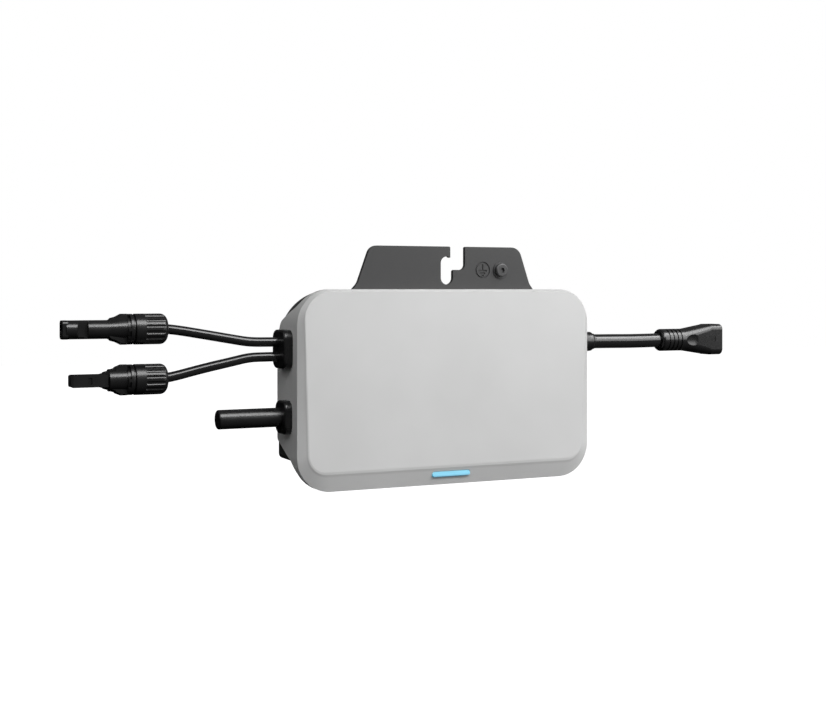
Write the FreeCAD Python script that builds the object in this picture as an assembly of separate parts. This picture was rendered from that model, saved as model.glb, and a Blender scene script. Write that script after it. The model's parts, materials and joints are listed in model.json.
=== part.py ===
import FreeCAD, Part
import math
import os
from FreeCAD import Vector

# Module-level solar inverter, millimetres.
# Working frame: X from the case's centre, Y rearwards from the cover's rim plane, Z up from the
# case's top edge. Everything is exported about ORIGIN, the seat of the hook slot on the rail face.

# ---- driving dimensions ----
CASE_W = 218.0             # width over the side cheeks
CASE_H = 131.0             # height of the cover
CASE_D = 44.0              # rim plane to the rear faces of the fins
HALF_W = CASE_W / 2
RIM_R = 23.0               # corner radius of the rim
FACE_Y = -4.0              # front face, proud of the rim plane
FACE_INSET_TOP = 1.6       # how far the face's edge stands in from the rim
FACE_INSET_BOTTOM = 12.5
FACE_INSET_SIDE_TOP = 3.4
FACE_INSET_SIDE_BOTTOM = 6.9
FACE_R_TOP = 18.0
FACE_R_BOTTOM = 12.5
COVER_WALL = 2.5
SKIRT_D = 6.0              # depth of the cover's skirt along the top
CHEEK_D = 38.0             # depth of the side cheeks
GAP = 0.2                  # assembly clearance

FLANGE_Y = 3.5             # front of the housing's flange plate
GASKET_T = 1.5
HOUSING_HALF_W = HALF_W - COVER_WALL - GAP
HOUSING_TOP = -0.8
HOUSING_BOTTOM = -113.0
HOUSING_R_TOP = 35.0
CAVITY_HALF_W = 102.5
CAVITY_TOP = -6.5
CAVITY_BOTTOM = -109.5
CAVITY_R_TOP = 31.0
FLOOR_Y = 33.0             # inner face of the rear wall
GROOVE_Y = 36.0            # bottom of the cooling grooves
GROOVE_W = 5.5
GROOVE_PITCH = 9.0
GROOVE_COUNT = 21

SHEET = 3.0                # bracket sheet thickness
TAB_TOP = 29.0             # height of the tab over the case
TAB_HALF_BASE = 68.2
SLOT_R = 4.6               # half width of the hook slot, for an M8 rail bolt
SLOT_X = 1.0
SLOT_Z = 7.8               # centre of the slot's bottom seat
NECK_LEFT, NECK_RIGHT = 3.6, 14.8
BRACKET_FLANGE_END = 38.0
GROUND_X, GROUND_Z = 42.4, 13.1
GROUND_NUT_R = 5.2         # corner radius of the flush hexagonal nut
EARTH_X, EARTH_Z = 28.4, 13.2

LEAD_Y = 19.8              # plane of all cable exits
PV_GLAND_Z = -39.0
PV_UPPER_Z, PV_LOWER_Z = -34.2, -43.8
PV_SOCKET_Z, PV_PLUG_Z = -24.7, -56.0
PV_GLAND_OUT = 5.9
PV_LEAD_R = 3.1
PV_NUT_R = 9.6
THREAD_R = 7.5
RUNNING = 0.08             # radial running clearance of the screwed nuts
ANTENNA_Z = -83.2
ANTENNA_GLAND_OUT = 4.9
ANTENNA_R = 6.25
ANTENNA_END = 47.0
AC_Z = -37.8
NECK = (12.2, 27.4)        # depth span of the gland necks
PV_NECK_HALF = 8.8
ANTENNA_NECK_HALF = 7.3
SEAL_WIDTH = 1.7
AC_GLAND_OUT = 4.9
AC_LEAD_R = 5.1

BOARD_Y = 9.0              # front face of the circuit board
BOARD_T = 1.6
BOARD_BACK = BOARD_Y + BOARD_T

LED_HALF_L = 14.0
LED_H = 3.4
LED_Z = -123.7

RAIL_FACE_Y = SKIRT_D + SHEET
ORIGIN = Vector(SLOT_X, RAIL_FACE_Y, SLOT_Z)
AXIS_X, AXIS_Y, AXIS_Z = Vector(1, 0, 0), Vector(0, 1, 0), Vector(0, 0, 1)


# ---- shape helpers ----
def box(x0, x1, y0, y1, z0, z1):
    return Part.makeBox(x1 - x0, y1 - y0, z1 - z0, Vector(x0, y0, z0))


def rod(radius, start, direction, length):
    return Part.makeCylinder(radius, length, start, direction)


def near(value, target):
    return abs(value - target) < 0.01


def hexagon(centre, u, v, radius):
    """Face with six equal sides; u and v span its plane."""
    corners = [centre + u * (radius * math.cos(math.radians(a))) + v * (radius * math.sin(math.radians(a)))
               for a in range(0, 361, 60)]
    return Part.Face(Part.makePolygon(corners))


def join(shapes):
    first, *rest = shapes
    return first.multiFuse(rest).removeSplitter() if rest else first


def rounded_wire(corners, place):
    """Closed wire through (u, v, radius) corners; place(u, v) gives each 3-D point."""
    arcs = []
    for i, (u, v, radius) in enumerate(corners):
        here = Vector(u, v, 0)
        before = Vector(corners[i - 1][0], corners[i - 1][1], 0)
        after_corner = corners[(i + 1) % len(corners)]
        after = Vector(after_corner[0], after_corner[1], 0)
        into = (here - before).normalize()
        out = (after - here).normalize()
        half_turn = into.getAngle(out) / 2
        reach = radius * math.tan(half_turn)
        middle = here
        if radius > 0:
            inward = (out - into).normalize()
            middle = here + inward * (radius / math.cos(half_turn) - radius)
        arcs.append((here - into * reach, middle, here + out * reach, radius))
    edges = []
    for i, (start, middle, end, radius) in enumerate(arcs):
        if radius > 0:
            trio = [place(p.x, p.y) for p in (start, middle, end)]
            edges.append(Part.Arc(*trio).toShape())
        next_start = arcs[(i + 1) % len(arcs)][0]
        if (next_start - end).Length > 1e-6:
            ends = place(end.x, end.y), place(next_start.x, next_start.y)
            edges.append(Part.LineSegment(*ends).toShape())
    return Part.Wire(edges)


def front_plate(corners, y0, y1):
    """Plate seen from the front: (x, z, radius) corners, between two Y planes."""
    wire = rounded_wire(corners, lambda x, z: Vector(x, y0, z))
    return Part.Face(wire).extrude(Vector(0, y1 - y0, 0))


def side_plate(corners, x0, x1):
    """Plate seen from the side: (y, z, radius) corners, between two X planes."""
    wire = rounded_wire(corners, lambda y, z: Vector(x0, y, z))
    return Part.Face(wire).extrude(Vector(x1 - x0, 0, 0))


def rectangle(x0, x1, z0, z1, radius):
    return [(x0, z0, radius), (x1, z0, radius), (x1, z1, radius), (x0, z1, radius)]


def turned(corners, z, side):
    """Turned part on a lead axis: (distance from the case wall, radius, corner radius)."""
    wire = rounded_wire(corners, lambda t, r: Vector(side * (HALF_W + t), LEAD_Y, z + r))
    return Part.Face(wire).revolve(Vector(0, LEAD_Y, z), AXIS_X, 360)


def cylinder_profile(t0, t1, radius, far_round=0):
    """Half section of a plain cylinder for turned(), with its far edge rounded."""
    return [(t0, 0, 0), (t0, radius, 0), (t1, radius, far_round), (t1, 0, 0)]


def fillet(shape, radius, wanted):
    """Round the edges whose centre point passes wanted(point)."""
    edges = [e for e in shape.Edges if wanted(e.CenterOfMass)]
    return shape.makeFillet(radius, edges)


def export(name, shape):
    placed = shape.copy()
    placed.translate(ORIGIN * -1)
    placed.exportStep(f"parts/{name}.step")
    print(f"{name}: {len(placed.Solids)} solids, {placed.Volume / 1000:.2f} cm3, valid {placed.isValid()}")


# ---- enclosure ----
def cover_outline(inset, share):
    """Cover outline: share 0 is the rim, 1 the front face; inset shrinks it all round."""
    top = FACE_INSET_TOP * share + inset
    bottom = FACE_INSET_BOTTOM * share + inset
    side_top = FACE_INSET_SIDE_TOP * share + inset
    side_bottom = FACE_INSET_SIDE_BOTTOM * share + inset
    r_top = RIM_R + (FACE_R_TOP - RIM_R) * share - inset
    r_bottom = RIM_R + (FACE_R_BOTTOM - RIM_R) * share - inset
    return [
        (-HALF_W + side_bottom, -CASE_H + bottom, r_bottom),
        (HALF_W - side_bottom, -CASE_H + bottom, r_bottom),
        (HALF_W - side_top, -top, r_top),
        (-HALF_W + side_top, -top, r_top),
    ]


def cover_loft(inset, stations):
    """Straight-sided shell form through (Y, share of the face inset) stations."""
    wires = [rounded_wire(cover_outline(inset, share), lambda x, z, y=y: Vector(x, y, z))
             for y, share in stations]
    return Part.makeLoft(wires, True, True)


def gasket_outline(width):
    """Seal path: round the cavity, with a dip below the LED board; width grows it outwards."""
    side = CAVITY_HALF_W + 0.5 + width
    bottom = CAVITY_BOTTOM - 3.0 - width
    dip = -124.0 - width
    foot, shoulder = 21.0 + width, 24.0 + width
    return [
        (-side, bottom, 5.0), (-shoulder, bottom, 2.0), (-foot, dip, 2.0), (foot, dip, 2.0),
        (shoulder, bottom, 2.0), (side, bottom, 5.0),
        (side, CAVITY_TOP + 0.5 + width, CAVITY_R_TOP + 0.5 + width),
        (-side, CAVITY_TOP + 0.5 + width, CAVITY_R_TOP + 0.5 + width),
    ]


def cheek_profile():
    """What is kept of the deep shell, seen from the side: skirt all round, cheeks at mid-height."""
    corners = [
        (-10, 10, 0), (SKIRT_D, 10, 0), (SKIRT_D, -2.0, 4), (7.6, -8.0, 6), (10.5, -11.5, 6),
        (31.5, -21.5, 12), (CHEEK_D, -33.0, 10), (CHEEK_D, -CASE_H + 31.5, 3),
        (12.2, -CASE_H + 19.5, 7), (7.2, -CASE_H + 12, 8), (SKIRT_D, -CASE_H, 0), (SKIRT_D, -CASE_H - 10, 0),
        (-10, -CASE_H - 10, 0),
    ]
    return side_plate(corners, -HALF_W - 5, HALF_W + 5)


COVER_SCREW_R, COVER_SCREW_HEAD_R = 1.25, 2.2
CORNER_SCREW = RIM_R - (RIM_R - 5.15) * math.sqrt(0.5)      # from each edge of the case
COVER_SCREWS = [
    (sx * (HALF_W - CORNER_SCREW), -CORNER_SCREW) for sx in (-1, 1)
] + [(x, -121.0) for x in (-88.0, -40.0, 40.0, 88.0)]


def led_plate(half_length, height, front, back):
    """Rounded bar lying on the bottom chamfer: front and back are heights off its surface."""
    r = min(height / 2 - 0.1, 1.4)
    plate = front_plate(rectangle(-half_length, half_length, -height / 2, height / 2, r), -front, back)
    slope = math.degrees(math.atan2(-FACE_Y, FACE_INSET_BOTTOM))
    plate.rotate(Vector(0, 0, 0), AXIS_X, -slope)
    face_edge = -CASE_H + FACE_INSET_BOTTOM
    plate.translate(Vector(0, FACE_Y * (LED_Z + CASE_H) / (face_edge + CASE_H), LED_Z))
    return plate


def side_opening(z, neck_half, side):
    """Notch for a gland neck and its seal, open towards the cheek's rear edge."""
    x0, x1 = sorted((side * (HALF_W - COVER_WALL - 1), side * (HALF_W + 5)))
    reach = neck_half + SEAL_WIDTH + GAP
    return box(x0, x1, NECK[0] - SEAL_WIDTH - GAP, CHEEK_D + 2, z - reach, z + reach)


def front_cover():
    stations = [(CHEEK_D + 2, 0), (0, 0), (-3.1, 0.8), (-3.75, 0.93), (FACE_Y, 1.06)]
    outer = cover_loft(0, stations)
    inner = cover_loft(COVER_WALL, [(CHEEK_D + 3, 0), (1.8, 0), (-1.5, 1.0)])
    shell = outer.cut(inner).common(cheek_profile())
    land_front, land_back = -2.4, FLANGE_Y - GASKET_T
    land = front_plate(gasket_outline(2.5), land_front, land_back)
    land = land.cut(front_plate(gasket_outline(0.2), land_front - 1, land_back + 1))
    bosses = [rod(2.3, Vector(x, -2.0, z), AXIS_Y, FLANGE_Y + 2.0) for x, z in COVER_SCREWS]
    shell = join([shell, land.common(cover_loft(1.0, stations))] + bosses)
    for x, z in COVER_SCREWS:
        shell = shell.cut(rod(COVER_SCREW_R, Vector(x, 0.3, z), AXIS_Y, 5))
    for notch in (
        side_opening(PV_GLAND_Z, PV_NECK_HALF, -1),
        side_opening(ANTENNA_Z, ANTENNA_NECK_HALF, -1),
        side_opening(AC_Z, PV_NECK_HALF, 1),
    ):
        shell = shell.cut(notch)
    return shell.cut(led_plate(LED_HALF_L + 0.1, LED_H + 0.2, 3, 8))


def cover_gasket():
    ring = front_plate(gasket_outline(2.5), FLANGE_Y - GASKET_T, FLANGE_Y)
    return ring.cut(front_plate(gasket_outline(0.2), 0, FLANGE_Y + 1))


BRACKET_SCREWS = [(x, 24.0) for x in (-52.0, -20.0, 20.0, 52.0)]
BOARD_SCREWS = [(-92.0, -62.0), (92.0, -62.0), (-62.0, -102.5), (62.0, -102.5)]
PEDESTAL = (-44.0, 44.0, 17.0, -104.0, -90.0)     # x0, x1, top Y, z0, z1


def cooling_grooves():
    deep, shallow = GROOVE_Y, CASE_D + 1
    corners = [(deep, HOUSING_BOTTOM - 2, 0), (shallow, HOUSING_BOTTOM - 2, 0),
               (shallow, -11.0, 0), (deep, -20.0, 3)]
    first = -GROOVE_PITCH * (GROOVE_COUNT - 1) / 2
    return [side_plate(corners, x - GROOVE_W / 2, x + GROOVE_W / 2)
            for x in (first + i * GROOVE_PITCH for i in range(GROOVE_COUNT))]


def rear_housing():
    body = front_plate([
        (-HOUSING_HALF_W, HOUSING_BOTTOM, 3.5), (HOUSING_HALF_W, HOUSING_BOTTOM, 3.5),
        (HOUSING_HALF_W, HOUSING_TOP, HOUSING_R_TOP), (-HOUSING_HALF_W, HOUSING_TOP, HOUSING_R_TOP),
    ], SKIRT_D + GAP, CASE_D)
    body = fillet(body, 1.5, lambda p: p.y > CASE_D - 0.01)
    flange = front_plate(cover_outline(COVER_WALL + GAP, 0), FLANGE_Y, SKIRT_D + GAP)
    flange = flange.cut(box(-200, 200, SKIRT_D, 10, HOUSING_TOP - 3.0, 5))
    cavity = front_plate([
        (-CAVITY_HALF_W, CAVITY_BOTTOM, 3.0), (CAVITY_HALF_W, CAVITY_BOTTOM, 3.0),
        (CAVITY_HALF_W, CAVITY_TOP, CAVITY_R_TOP), (-CAVITY_HALF_W, CAVITY_TOP, CAVITY_R_TOP),
    ], FLANGE_Y - 1, FLOOR_Y)
    led_pocket = box(-17, 17, FLANGE_Y - 1, 5.4, -124.0, CAVITY_BOTTOM + 1)
    bracket_seat = box(-TAB_HALF_BASE - GAP, TAB_HALF_BASE + GAP, SKIRT_D, BRACKET_FLANGE_END + 0.5,
                       -SHEET, 5)
    shell = join([body, flange]).cut(join([cavity, led_pocket]))
    shell = shell.cut(bracket_seat)
    shell = shell.cut(Part.makeCompound(cooling_grooves()))
    x0, x1, top, z0, z1 = PEDESTAL
    posts = [rod(3.2, Vector(x, BOARD_BACK, z), AXIS_Y, FLOOR_Y + 0.5 - BOARD_BACK) for x, z in BOARD_SCREWS]
    screw_posts = [rod(4.0, Vector(x, y, -14.0), AXIS_Z, 8.0) for x, y in BRACKET_SCREWS]
    shell = join([shell, box(x0, x1, top, FLOOR_Y + 0.5, z0, z1)] + posts + screw_posts)
    holes = [rod(1.2, Vector(x, BOARD_BACK - 1, z), AXIS_Y, 11) for x, z in BOARD_SCREWS]
    holes += [rod(COVER_SCREW_R + 0.15, Vector(x, 0, z), AXIS_Y, 10) for x, z in COVER_SCREWS]
    holes += [rod(2.0, Vector(x, y, -12.5), AXIS_Z, 12) for x, y in BRACKET_SCREWS]
    holes += [
        box(x0, x1, NECK[0] - GAP, NECK[1] + GAP, z - half - GAP, z + half + GAP)
        for x0, x1, z, half in (
            (-HALF_W, -CAVITY_HALF_W + 8, PV_GLAND_Z, PV_NECK_HALF),
            (-HALF_W, -CAVITY_HALF_W + 8, ANTENNA_Z, ANTENNA_NECK_HALF),
            (CAVITY_HALF_W - 8, HALF_W, AC_Z, PV_NECK_HALF),
        )
    ]
    return shell.cut(Part.makeCompound(holes))


def pan_screw(base, direction, head_r, head_h, shaft_r, shaft_l):
    """Pan-head screw with a hexagon socket; direction points from the tip out through the head."""
    head = rod(head_r, Vector(0, 0, 0), AXIS_Z, head_h)
    head = fillet(head, head_h * 0.45, lambda p: p.z > head_h - 0.01)
    shaft = rod(shaft_r, Vector(0, 0, -shaft_l), AXIS_Z, shaft_l)
    socket = hexagon(Vector(0, 0, head_h + 1), AXIS_X, AXIS_Y, head_r * 0.42)
    socket = socket.extrude(Vector(0, 0, -1 - head_h * 0.7))
    screw = join([head, shaft]).cut(socket)
    screw.Placement = FreeCAD.Placement(base, FreeCAD.Rotation(AXIS_Z, direction))
    return screw


def cover_screws():
    return Part.makeCompound([
        pan_screw(Vector(x, SKIRT_D + GAP, z), AXIS_Y, COVER_SCREW_HEAD_R, 1.7, COVER_SCREW_R, 5.6)
        for x, z in COVER_SCREWS])


def bracket_screws():
    return Part.makeCompound([
        pan_screw(Vector(x, y, 0), AXIS_Z, 3.5, 2.2, 2.0, 11.5) for x, y in BRACKET_SCREWS])


# ---- bracket ----
def tab_outline():
    base_x, flare_z = TAB_HALF_BASE, 3.85
    right = [(base_x, -SHEET, 0), (base_x, 0, 0.6), (65.3, flare_z, 9.0), (56.8, TAB_TOP, 8.0)]
    left = [(-55.4, TAB_TOP, 7.0), (-64.6, flare_z, 9.0), (-base_x, 0, 0.6), (-base_x, -SHEET, 0)]
    return right + left


def hook_slot():
    """Keyhole-like cut: a neck from the top edge, a ledge, and a seat for the bolt."""
    left, right = SLOT_X - SLOT_R, SLOT_X + SLOT_R
    seat = SLOT_Z - SLOT_R
    ledge, crown, barb = 13.2, 22.2, 21.0
    mouth = TAB_TOP + 2
    corners = [
        (NECK_LEFT, mouth, 0), (NECK_LEFT, barb, 0.4), (2.0, crown, 0.8), (left, crown, SLOT_R - 0.2),
        (left, seat, SLOT_R), (right, seat, SLOT_R), (right, ledge, 1.4), (NECK_RIGHT, ledge, 3.6),
        (NECK_RIGHT, mouth, 0),
    ]
    return front_plate(corners, SKIRT_D - 1, RAIL_FACE_Y + 1)


def earth_symbol():
    """Engraved protective-earth sign: ring, stem and three bars."""
    top, depth = SKIRT_D - 0.5, SKIRT_D + 0.6
    cut = depth - top
    ring = rod(5.7, Vector(EARTH_X, top, EARTH_Z), AXIS_Y, cut)
    ring = ring.cut(rod(4.7, Vector(EARTH_X, top - 1, EARTH_Z), AXIS_Y, cut + 2))
    stem = box(EARTH_X - 0.5, EARTH_X + 0.5, top, depth, EARTH_Z - 0.6, EARTH_Z + 4.0)
    bars = [box(EARTH_X - half, EARTH_X + half, top, depth, EARTH_Z + z - 0.5, EARTH_Z + z + 0.5)
            for half, z in ((3.2, -0.5), (2.1, -2.2), (0.9, -3.8))]
    return Part.makeCompound([ring, join([stem] + bars)])


def mounting_bracket():
    tab = front_plate(tab_outline(), SKIRT_D, RAIL_FACE_Y).cut(hook_slot())
    tab = fillet(tab, 1.0, lambda p: near(p.z, TAB_TOP) and (near(p.x, NECK_LEFT) or near(p.x, NECK_RIGHT)))
    foot = front_plate([(-TAB_HALF_BASE, -SHEET, 0), (TAB_HALF_BASE, -SHEET, 0),
                        (TAB_HALF_BASE, 0, 0), (-TAB_HALF_BASE, 0, 0)], SKIRT_D, BRACKET_FLANGE_END)
    foot = fillet(foot, 6.0, lambda p: near(abs(p.x), TAB_HALF_BASE) and near(p.y, BRACKET_FLANGE_END))
    bracket = join([tab, foot])
    bracket = fillet(bracket, 2.0, lambda p: near(p.z, -SHEET) and near(p.y, SKIRT_D))
    holes = [rod(2.2, Vector(x, y, -SHEET - 1), AXIS_Z, SHEET + 2) for x, y in BRACKET_SCREWS]
    nut_hole = hexagon(Vector(GROUND_X, SKIRT_D - 1, GROUND_Z), AXIS_X, AXIS_Z, GROUND_NUT_R)
    holes.append(nut_hole.extrude(Vector(0, SHEET + 2, 0)))
    return bracket.cut(Part.makeCompound(holes + [earth_symbol()]))


GROUND_WASHER_T = 0.8
GROUND_SCREW_R = 2.5
GROUND_SCREW_L = 3.8


def ground_screw():
    seat = Vector(GROUND_X, SKIRT_D - GROUND_WASHER_T - 0.05, GROUND_Z)
    return pan_screw(seat, AXIS_Y * -1, 4.6, 1.9, GROUND_SCREW_R, GROUND_SCREW_L)


def ground_washer():
    ring = rod(5.6, Vector(GROUND_X, SKIRT_D - GROUND_WASHER_T, GROUND_Z), AXIS_Y, GROUND_WASHER_T)
    return ring.cut(rod(GROUND_SCREW_R + RUNNING, Vector(GROUND_X, 0, GROUND_Z), AXIS_Y, 10))


def ground_nut():
    """Flush nut pressed into the tab, so that the rail face stays flat."""
    body = hexagon(Vector(GROUND_X, SKIRT_D, GROUND_Z), AXIS_X, AXIS_Z, GROUND_NUT_R)
    body = body.extrude(Vector(0, SHEET, 0))
    return body.cut(rod(GROUND_SCREW_R + RUNNING, Vector(GROUND_X, 0, GROUND_Z), AXIS_Y, 20))


# ---- status light ----
def led_lens():
    return led_plate(LED_HALF_L, LED_H, 0.45, 1.6)


def led_light_guide():
    guide = front_plate(rectangle(-LED_HALF_L + 1, LED_HALF_L - 1, LED_Z - 0.3, LED_Z + 0.9, 0.5), -4.0, 2.8)
    return guide.cut(led_plate(LED_HALF_L + 1, LED_H + 2, 6, 1.65))


def led_board():
    board = box(-16, 16, 3.9, 5.1, -123.5, -111.0)
    chips = [box(x - 1.5, x + 1.5, 3.0, 3.9, LED_Z + 0.2, LED_Z + 2.2) for x in (-10, 0, 10)]
    return join([board] + chips)


# ---- power board ----
def circuit_board():
    board = front_plate([(-98, -106, 3), (98, -106, 3), (98, -10, 29), (-98, -10, 29)], BOARD_Y, BOARD_BACK)
    holes = [rod(1.6, Vector(x, BOARD_Y - 1, z), AXIS_Y, BOARD_T + 2) for x, z in BOARD_SCREWS]
    return board.cut(Part.makeCompound(holes))


def board_screws():
    return Part.makeCompound([
        pan_screw(Vector(x, BOARD_Y, z), AXIS_Y * -1, 2.6, 1.8, 1.2, 8.5) for x, z in BOARD_SCREWS])


def ferrite_block(cx, cz, half_w, half_h, depth):
    """E-core standing on the board, with a window each side of the centre leg."""
    core = box(cx - half_w, cx + half_w, BOARD_BACK, BOARD_BACK + depth, cz - half_h, cz + half_h)
    leg = half_w * 0.3
    windows = [box(cx + s0, cx + s1, BOARD_BACK + 3, BOARD_BACK + depth - 3, cz - half_h - 1, cz + half_h + 1)
               for s0, s1 in ((-half_w * 0.75, -leg), (leg, half_w * 0.75))]
    return core.cut(Part.makeCompound(windows))


def bobbin_winding(cx, cz, half_w, half_h, depth):
    """Winding round the centre leg of the matching core."""
    outer, leg = half_w * 0.75 - 0.4, half_w * 0.3 + 0.3
    y0, y1 = BOARD_BACK + 3.4, BOARD_BACK + depth - 3.4
    end = half_h + 4
    ring = front_plate(rectangle(cx - outer, cx + outer, cz - end, cz + end, 4.0), y0, y1)
    return ring.cut(box(cx - leg, cx + leg, y0 - 1, y1 + 1, cz - half_h - 0.3, cz + half_h + 0.3))


def ring_core(cx, cz, inner, outer, y0, y1):
    ring = rod(outer, Vector(cx, y0, cz), AXIS_Y, y1 - y0)
    return ring.cut(rod(inner, Vector(cx, y0 - 1, cz), AXIS_Y, y1 - y0 + 2))


def ring_winding(cx, cz, inner, outer, y0, y1):
    """Two wound halves closed round a ring core, with a gap top and bottom."""
    wire = 1.6
    coil = ring_core(cx, cz, inner - wire, outer + wire, y0 - wire, y1 + wire)
    coil = coil.cut(ring_core(cx, cz, inner - 0.05, outer + 0.05, y0 - 0.05, y1 + 0.05))
    return coil.cut(box(cx - 2.5, cx + 2.5, y0 - 9, y1 + 9, cz - outer - 9, cz + outer + 9))


TRANSFORMER = (-20.0, -44.0, 21.0, 15.0, 20.0)     # centre x, z, half width, half height, depth
INDUCTOR = (24.0, -68.0, 5.0, 11.0, 13.0, 22.0)    # centre x, z, inner and outer radius, y0, y1
CHOKE = (60.0, -84.0, 5.5, 12.0, 13.0, 23.0)


def dc_capacitors():
    cans = []
    for x, z in ((-56, -22), (-70, -30), (-56, -38), (-70, -46), (-56, -54), (-70, -62)):
        can = rod(6.2, Vector(x, BOARD_BACK, z), AXIS_Y, 20)
        cans.append(fillet(can, 0.8, lambda p: p.y > BOARD_BACK + 19))
    return Part.makeCompound(cans)


def filter_capacitors():
    top = BOARD_BACK + 16
    return Part.makeCompound([
        fillet(box(x - 4.5, x + 4.5, BOARD_BACK, top, z - 9, z + 9), 0.8, lambda p: p.y > top - 1)
        for x, z in ((30.0, -34.0), (42.0, -34.0), (80.0, -84.0))])


def power_transistors():
    return Part.makeCompound([
        box(x - 4.2, x + 4.2, BOARD_BACK, PEDESTAL[2] - 1.2, PEDESTAL[3] + 2, PEDESTAL[4] - 2)
        for x in (-38.5 + 11.0 * i for i in range(8))])


def thermal_pad():
    x0, x1, top, z0, z1 = PEDESTAL
    return box(x0, x1, top - 1.2, top, z0, z1)


def grid_relay():
    return fillet(box(54, 74, BOARD_BACK, BOARD_BACK + 14, -60, -45), 0.8, lambda p: p.y > BOARD_BACK + 13)


def fuse():
    """Ceramic fuse tube with an end cap at each end."""
    middle = rod(2.4, Vector(56, BOARD_BACK + 3.1, -38), AXIS_X, 16)
    return join([middle] + [rod(3.0, Vector(x, BOARD_BACK + 3.1, -38), AXIS_X, 4) for x in (54, 70)])


def controller_chips():
    return Part.makeCompound([box(x - w, x + w, BOARD_Y - 1.4, BOARD_Y, z - w, z + w)
                              for x, z, w in ((-30, -80, 7), (10, -60, 5), (45, -80, 4))])


def radio_module():
    base = box(-93, -75, BOARD_BACK, BOARD_BACK + 1, -98, -76)
    return join([base, box(-91.5, -76.5, BOARD_BACK + 1, BOARD_BACK + 3.4, -96.5, -82)])


def terminal_block(x, zs, width):
    blocks = []
    for z in zs:
        block = box(x - 4, x + 4, BOARD_BACK, LEAD_Y + 5, z - width / 2, z + width / 2)
        blocks.append(fillet(block, 0.5, lambda p: p.y > LEAD_Y + 4.9))
    return Part.makeCompound(blocks)


def dc_terminals():
    return terminal_block(-84.0, (PV_UPPER_Z, PV_LOWER_Z), 8.0)


AC_CORES = (AC_Z - 6.0, AC_Z, AC_Z + 6.0)


def ac_terminals():
    return terminal_block(84.0, AC_CORES, 5.4)


# ---- glands and inner leads ----
def gland(z, half_h, y0, y1, out, neck, neck_half, bores, side):
    """Rounded block against the case wall with a neck through it; bores are (dz, radius)."""
    x0, x1 = sorted((side * HALF_W, side * (HALF_W + out)))
    block = side_plate(rectangle(y0, y1, z - half_h, z + half_h, 6), x0, x1)
    block = fillet(block, 1.6, lambda p: abs(abs(p.x) - HALF_W - out) < 0.01)
    n0, n1 = neck
    x2, x3 = sorted((side * HALF_W, side * (CAVITY_HALF_W - 2.5)))
    stem = side_plate(rectangle(n0, n1, z - neck_half, z + neck_half, 2), x2, x3)
    body = join([block, stem])
    for dz, radius in bores:
        start = Vector(side * (HALF_W + out + 1), LEAD_Y, z + dz)
        body = body.cut(rod(radius, start, AXIS_X * -side, 30))
    return body


def pv_gland():
    bores = [(PV_UPPER_Z - PV_GLAND_Z, PV_LEAD_R), (PV_LOWER_Z - PV_GLAND_Z, PV_LEAD_R)]
    return gland(PV_GLAND_Z, 12.65, 8.0, 31.6, PV_GLAND_OUT, NECK, PV_NECK_HALF, bores, -1)


def antenna_gland():
    return gland(ANTENNA_Z, 10.9, 9.1, 29.2, ANTENNA_GLAND_OUT, NECK, ANTENNA_NECK_HALF, [(0, 2.0)], -1)


def ac_gland():
    return gland(AC_Z, 12.65, 8.0, 31.6, AC_GLAND_OUT, NECK, PV_NECK_HALF, [(0, AC_LEAD_R)], 1)


def wall_seal(z, neck_half, side):
    """Square ring round a neck, squeezed between the gland block and the housing wall."""
    x0, x1 = sorted((side * HOUSING_HALF_W, side * HALF_W))
    y0, y1 = NECK
    ring, hole = (side_plate(rectangle(y0 - w, y1 + w, z - neck_half - w, z + neck_half + w, 2 + w), x0, x1)
                  for w in (SEAL_WIDTH, 0))
    return ring.cut(hole)


def dc_inner_leads():
    start = -(HALF_W + PV_GLAND_OUT)
    return Part.makeCompound([rod(PV_LEAD_R, Vector(start, LEAD_Y, z), AXIS_X, -88.0 - start)
                              for z in (PV_UPPER_Z, PV_LOWER_Z)])


def ac_inner_leads():
    """Jacket through the gland, then three cores to their terminals."""
    jacket_end = 97.0
    jacket = rod(AC_LEAD_R, Vector(jacket_end, LEAD_Y, AC_Z), AXIS_X, HALF_W + AC_GLAND_OUT - jacket_end)
    terminal = 88.0
    cores = [rod(1.3, Vector(terminal, LEAD_Y, (AC_Z + z) / 2), AXIS_X, jacket_end - terminal)
             for z in AC_CORES]
    return join([jacket] + cores)


# ---- antenna ----
def antenna_tube():
    base, tip, wall = ANTENNA_GLAND_OUT, ANTENNA_END, 1.5
    outside = turned(cylinder_profile(base, tip, ANTENNA_R, 1.2), ANTENNA_Z, -1)
    return outside.cut(turned(cylinder_profile(base - 1, tip - wall, ANTENNA_R - wall, 0.5), ANTENNA_Z, -1))


def antenna_element():
    x_tip, x_base = -(HALF_W + ANTENNA_END - 4), -(HALF_W + ANTENNA_GLAND_OUT)
    strip = box(x_tip, x_base, LEAD_Y - 0.5, LEAD_Y + 0.5, ANTENNA_Z - 3.4, ANTENNA_Z + 3.4)
    patch = box(x_tip + 3, x_base - 8, LEAD_Y - 0.7, LEAD_Y - 0.5, ANTENNA_Z - 1.8, ANTENNA_Z + 1.8)
    return join([strip, patch])


def antenna_lead():
    """Thin coaxial lead from the antenna foot through the gland to the radio module."""
    start = -(HALF_W + ANTENNA_GLAND_OUT)
    along = rod(0.9, Vector(start, LEAD_Y, ANTENNA_Z), AXIS_X, -84.0 - start)
    down = rod(0.9, Vector(-84.0, LEAD_Y, ANTENNA_Z), AXIS_Y * -1, LEAD_Y - BOARD_BACK - 3.4)
    ball = Part.makeSphere(0.9, Vector(-84.0, LEAD_Y, ANTENNA_Z))
    return join([along, down, ball])


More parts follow.
